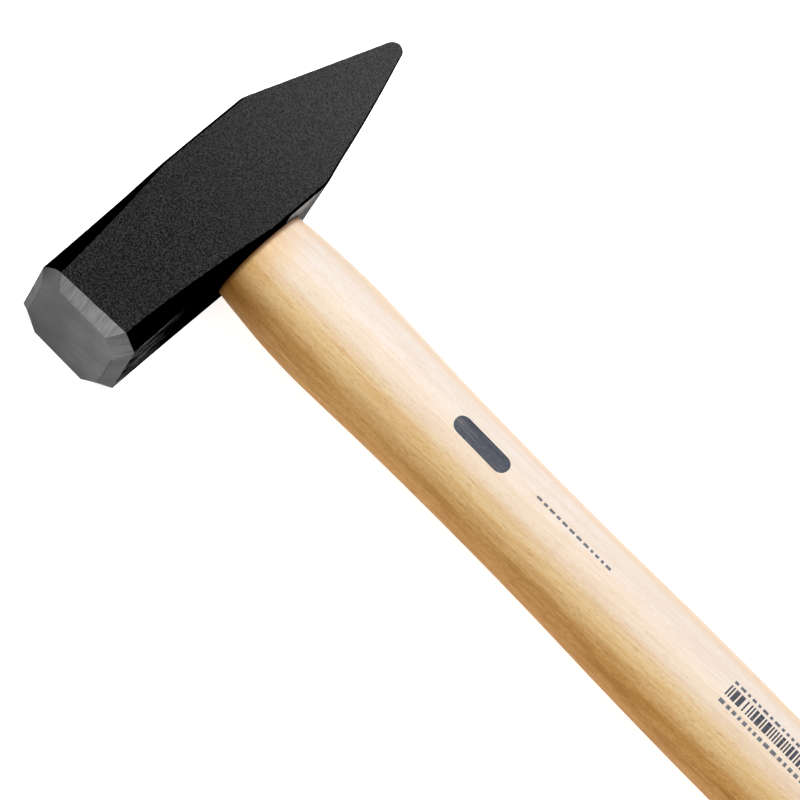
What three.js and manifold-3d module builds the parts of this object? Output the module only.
// Blacksmith's cross-peen hammer, 800 g pattern, in millimetres.
//
// It lies on one cheek. The origin is on the resting plane, under the crossing of the head's and the
// handle's centre lines. +X runs along the handle to its grip end, +Y along the head to the peen, and +Z
// up out of the other cheek. The striking face looks along -Y.

import * as THREE from 'three';
import { ConvexGeometry } from 'three/addons/geometries/ConvexGeometry.js';
import { mergeVertices } from 'three/addons/utils/BufferGeometryUtils.js';
import Module from 'manifold-3d';

const wasm = await Module();
wasm.setup();

// Head: a square forging along Y
const headLength = 130;
const headWidth = 33.6;
const strikingFaceY = -59;
const peenShoulderY = 22.2;
const peenTipRadius = 2.65;
const peenTipX = 0.3;

// The forging swells a little on its top, beside the eye
const topSwell = 0.35;
const topSwellAtShoulder = 0.25;

// Long edges of the head: broad chamfers at the striking face that thin out towards the eye
const chamferAtFace = 4.8;
const chamferAtEye = 0.5;
const chamferAtShoulder = 0.9;

// Ground bevel around the striking face, and the corner cuts of the face inside it
const bevelDepth = 4.1;
const bevelInset = 3.05;
const faceCutX = 4.8;
const faceCutZ = 6;

// Eye: an oval hole along X, narrowest half way through the head
const eyeLength = 28;
const eyeWaistLength = 26.2;
const eyeAspect = 0.65;

// Handle: an oval bar along X
const overallLength = 350;
const handleAspect = 0.77;
const shoulderWidth = 31.8;
const endRounding = 9;

// Wedges driven into the tenon from the top of the head: depth is along X
const woodWedge = { depth: 21, width: 40, top: 3.4, tip: 0.9, barbs: 0 };
const steelWedge = { depth: 15, width: 11, top: 2.6, tip: 0.8, barbs: 4 };
const steelWedgeOffset = 7;
const barbHeight = 0.2;

const fitGap = 0.3;
const tenonOverlap = 6;
const roundSegments = 56;
const gripSteps = 30;
const gripEndSteps = 6;
const gripEndFullness = 0.6;
const mergeDistance = 1e-3;

const centreHeight = headWidth / 2;
const headTopX = -headWidth / 2;
const undersideX = headWidth / 2;
const peenTipY = strikingFaceY + headLength;
const gripEndX = headTopX + overallLength;

// Width of the handle at places along X: a swell below the head, a waist and a long grip
const gripWidths = [
  [undersideX + fitGap, shoulderWidth],
  [22, 32.9],
  [33, 34.8],
  [48, 35.9],
  [66, 34.7],
  [85, 33.6],
  [115, 33],
  [140, 33.3],
  [171, 34.7],
  [205, 35.1],
  [265, 34.3],
  [gripEndX - endRounding, 33.8],
];

const paint = new THREE.MeshStandardMaterial({ color: 0x2b2c2d, roughness: 0.6, metalness: 0.1 });
const beech = new THREE.MeshStandardMaterial({ color: 0xe2c192, roughness: 0.4, metalness: 0 });
const hardwood = new THREE.MeshStandardMaterial({ color: 0xa9794a, roughness: 0.7, metalness: 0 });
const steel = new THREE.MeshStandardMaterial({ color: 0x85878a, roughness: 0.4, metalness: 0.9 });

// A closed geometry as a solid that can be cut and joined
function solidFrom(geometry) {
  const bare = geometry.clone();
  bare.deleteAttribute('normal');
  bare.deleteAttribute('uv');
  const merged = mergeVertices(bare, mergeDistance);
  const corners = Array.from(merged.index.array);
  const triangles = [];
  for (let i = 0; i < corners.length; i += 3) {
    const [a, b, c] = corners.slice(i, i + 3);
    if (a !== b && b !== c && c !== a) triangles.push(a, b, c);
  }
  const mesh = new wasm.Mesh({
    numProp: 3,
    vertProperties: new Float32Array(merged.attributes.position.array),
    triVerts: new Uint32Array(triangles),
  });
  return new wasm.Manifold(mesh);
}

function meshFrom(name, solid, material) {
  const { vertProperties, triVerts } = solid.getMesh();
  const geometry = new THREE.BufferGeometry();
  geometry.setAttribute('position', new THREE.BufferAttribute(vertProperties, 3));
  geometry.setIndex(new THREE.BufferAttribute(triVerts, 1));
  geometry.computeVertexNormals();
  const mesh = new THREE.Mesh(geometry, material);
  mesh.name = name;
  return mesh;
}

// Bar along X with an oval section. Its outline is a list of (half width along Y, place along X) points,
// and aspect is its thickness over its width.
function ovalBar(outline, aspect) {
  const points = outline.map(([halfWidth, x]) => new THREE.Vector2(halfWidth, x));
  const geometry = new THREE.LatheGeometry(points, roundSegments);
  geometry.rotateZ(-Math.PI / 2);
  geometry.scale(1, 1, aspect);
  return solidFrom(geometry);
}

// The eight corners of the head's section at one place along Y, where cutX and cutZ take its four
// corners off and swell moves its top side out
function sectionCorners(y, halfWidth, cutX, cutZ, swell = 0) {
  const corners = [];
  for (const signX of [-1, 1]) {
    const halfX = halfWidth + (signX < 0 ? swell : 0);
    for (const signZ of [-1, 1]) {
      corners.push(new THREE.Vector3(signX * (halfX - cutX), y, signZ * halfWidth));
      corners.push(new THREE.Vector3(signX * halfX, y, signZ * (halfWidth - cutZ)));
    }
  }
  return corners;
}

// Rounded edge of the peen: an arc from one slope to the other, on both cheeks
function peenTipPoints() {
  const centreY = peenTipY - peenTipRadius;
  const slope = Math.atan2(headWidth / 2 - peenTipRadius, centreY - peenShoulderY);
  const arcSteps = 8;
  const points = [];
  for (let step = 0; step <= arcSteps; step += 1) {
    const angle = THREE.MathUtils.lerp(slope, Math.PI - slope, step / arcSteps);
    const x = peenTipX + peenTipRadius * Math.cos(angle);
    const y = centreY + peenTipRadius * Math.sin(angle);
    points.push(new THREE.Vector3(x, y, -headWidth / 2), new THREE.Vector3(x, y, headWidth / 2));
  }
  return points;
}

// The head before its eye is punched is convex, so its corners give its whole shape
function headBlank() {
  const half = headWidth / 2;
  const points = [
    ...sectionCorners(strikingFaceY, half - bevelInset, faceCutX, faceCutZ),
    ...sectionCorners(strikingFaceY + bevelDepth, half, chamferAtFace, chamferAtFace),
    ...sectionCorners(0, half, chamferAtEye, chamferAtEye, topSwell),
    ...sectionCorners(peenShoulderY, half, chamferAtShoulder, chamferAtShoulder, topSwellAtShoulder),
    ...peenTipPoints(),
  ];
  return solidFrom(new ConvexGeometry(points));
}

// An oval bar that fits the eye with a gap all round. It is cut off square at both ends.
function eyeBar(startX, endX, gap) {
  const halfLengthAt = (x) => {
    const share = Math.min(Math.abs(x) / undersideX, 1);
    return THREE.MathUtils.lerp(eyeWaistLength, eyeLength, share) / 2 - gap;
  };
  const places = [startX, headTopX, 0, undersideX, endX].filter((x) => x >= startX && x <= endX);
  const side = [...new Set(places)].map((x) => [halfLengthAt(x), x]);
  return ovalBar([[0, startX], ...side, [0, endX]], eyeAspect);
}

// The handle below the head, with its rounded end
function gripBar() {
  const curve = new THREE.SplineCurve(gripWidths.map(([x, width]) => new THREE.Vector2(width / 2, x)));
  const sides = curve.getSpacedPoints(gripSteps).map((point) => [point.x, point.y]);
  const [endStartX, endWidth] = gripWidths.at(-1);
  const end = [];
  for (let step = 1; step < gripEndSteps; step += 1) {
    const angle = (Math.PI / 2) * (step / gripEndSteps);
    const share = Math.cos(angle) ** gripEndFullness;
    end.push([(endWidth / 2) * share, endStartX + endRounding * Math.sin(angle)]);
  }
  return ovalBar([[0, undersideX + fitGap], ...sides, ...end, [0, gripEndX]], handleAspect);
}

// Wedge that tapers along X and is thin along Y. As a cutter it is grown by a gap all round and stands
// out of the head's top.
function wedgeBlank({ depth, width, top, tip, barbs }, gap) {
  const thicknessAt = (x) => THREE.MathUtils.lerp(top, tip, (x - headTopX) / depth);
  const halfAt = (x) => thicknessAt(x) / 2 + gap;
  const startX = headTopX - (gap > 0 ? 1 : 0);
  const endX = headTopX + depth + gap;
  const side = [[startX, halfAt(startX)]];
  for (let barb = 1; barb <= barbs; barb += 1) {
    const x = headTopX + (depth * barb) / (barbs + 1);
    side.push([x, halfAt(x)], [x, halfAt(x) + barbHeight]);
  }
  side.push([endX, halfAt(endX)]);
  const otherSide = side.map(([x, half]) => [x, -half]).reverse();
  const outline = new THREE.Shape([...side, ...otherSide].map(([x, half]) => new THREE.Vector2(x, half)));
  const geometry = new THREE.ExtrudeGeometry(outline, { depth: width + 2 * gap, bevelEnabled: false });
  geometry.translate(0, 0, -width / 2 - gap);
  return geometry;
}

// The wooden wedge is thin along Z and runs the whole length of the eye
function woodWedgeBlank(gap) {
  return solidFrom(wedgeBlank(woodWedge, gap).rotateX(Math.PI / 2));
}

function steelWedgeBlank(offset, gap) {
  return solidFrom(wedgeBlank(steelWedge, gap).translate(0, offset, 0));
}

const tenon = eyeBar(headTopX, undersideX + tenonOverlap, fitGap);
const pocketGap = fitGap + barbHeight;
const pockets = [-steelWedgeOffset, steelWedgeOffset].map((offset) => steelWedgeBlank(offset, pocketGap));

function headSolid() {
  return headBlank().subtract(eyeBar(-headWidth, headWidth, 0));
}

function handleSolid() {
  const whole = gripBar().add(tenon).subtract(woodWedgeBlank(fitGap));
  return pockets.reduce((solid, pocket) => solid.subtract(pocket), whole);
}

function woodWedgeSolid() {
  const whole = woodWedgeBlank(0).intersect(tenon);
  return pockets.reduce((solid, pocket) => solid.subtract(pocket), whole);
}

const hammer = new THREE.Group();
hammer.position.z = centreHeight;
hammer.add(
  meshFrom('head', headSolid(), paint),
  meshFrom('handle', handleSolid(), beech),
  meshFrom('wood_wedge', woodWedgeSolid(), hardwood),
  meshFrom('steel_wedge_poll', steelWedgeBlank(-steelWedgeOffset, 0), steel),
  meshFrom('steel_wedge_peen', steelWedgeBlank(steelWedgeOffset, 0), steel),
);

export default hammer;
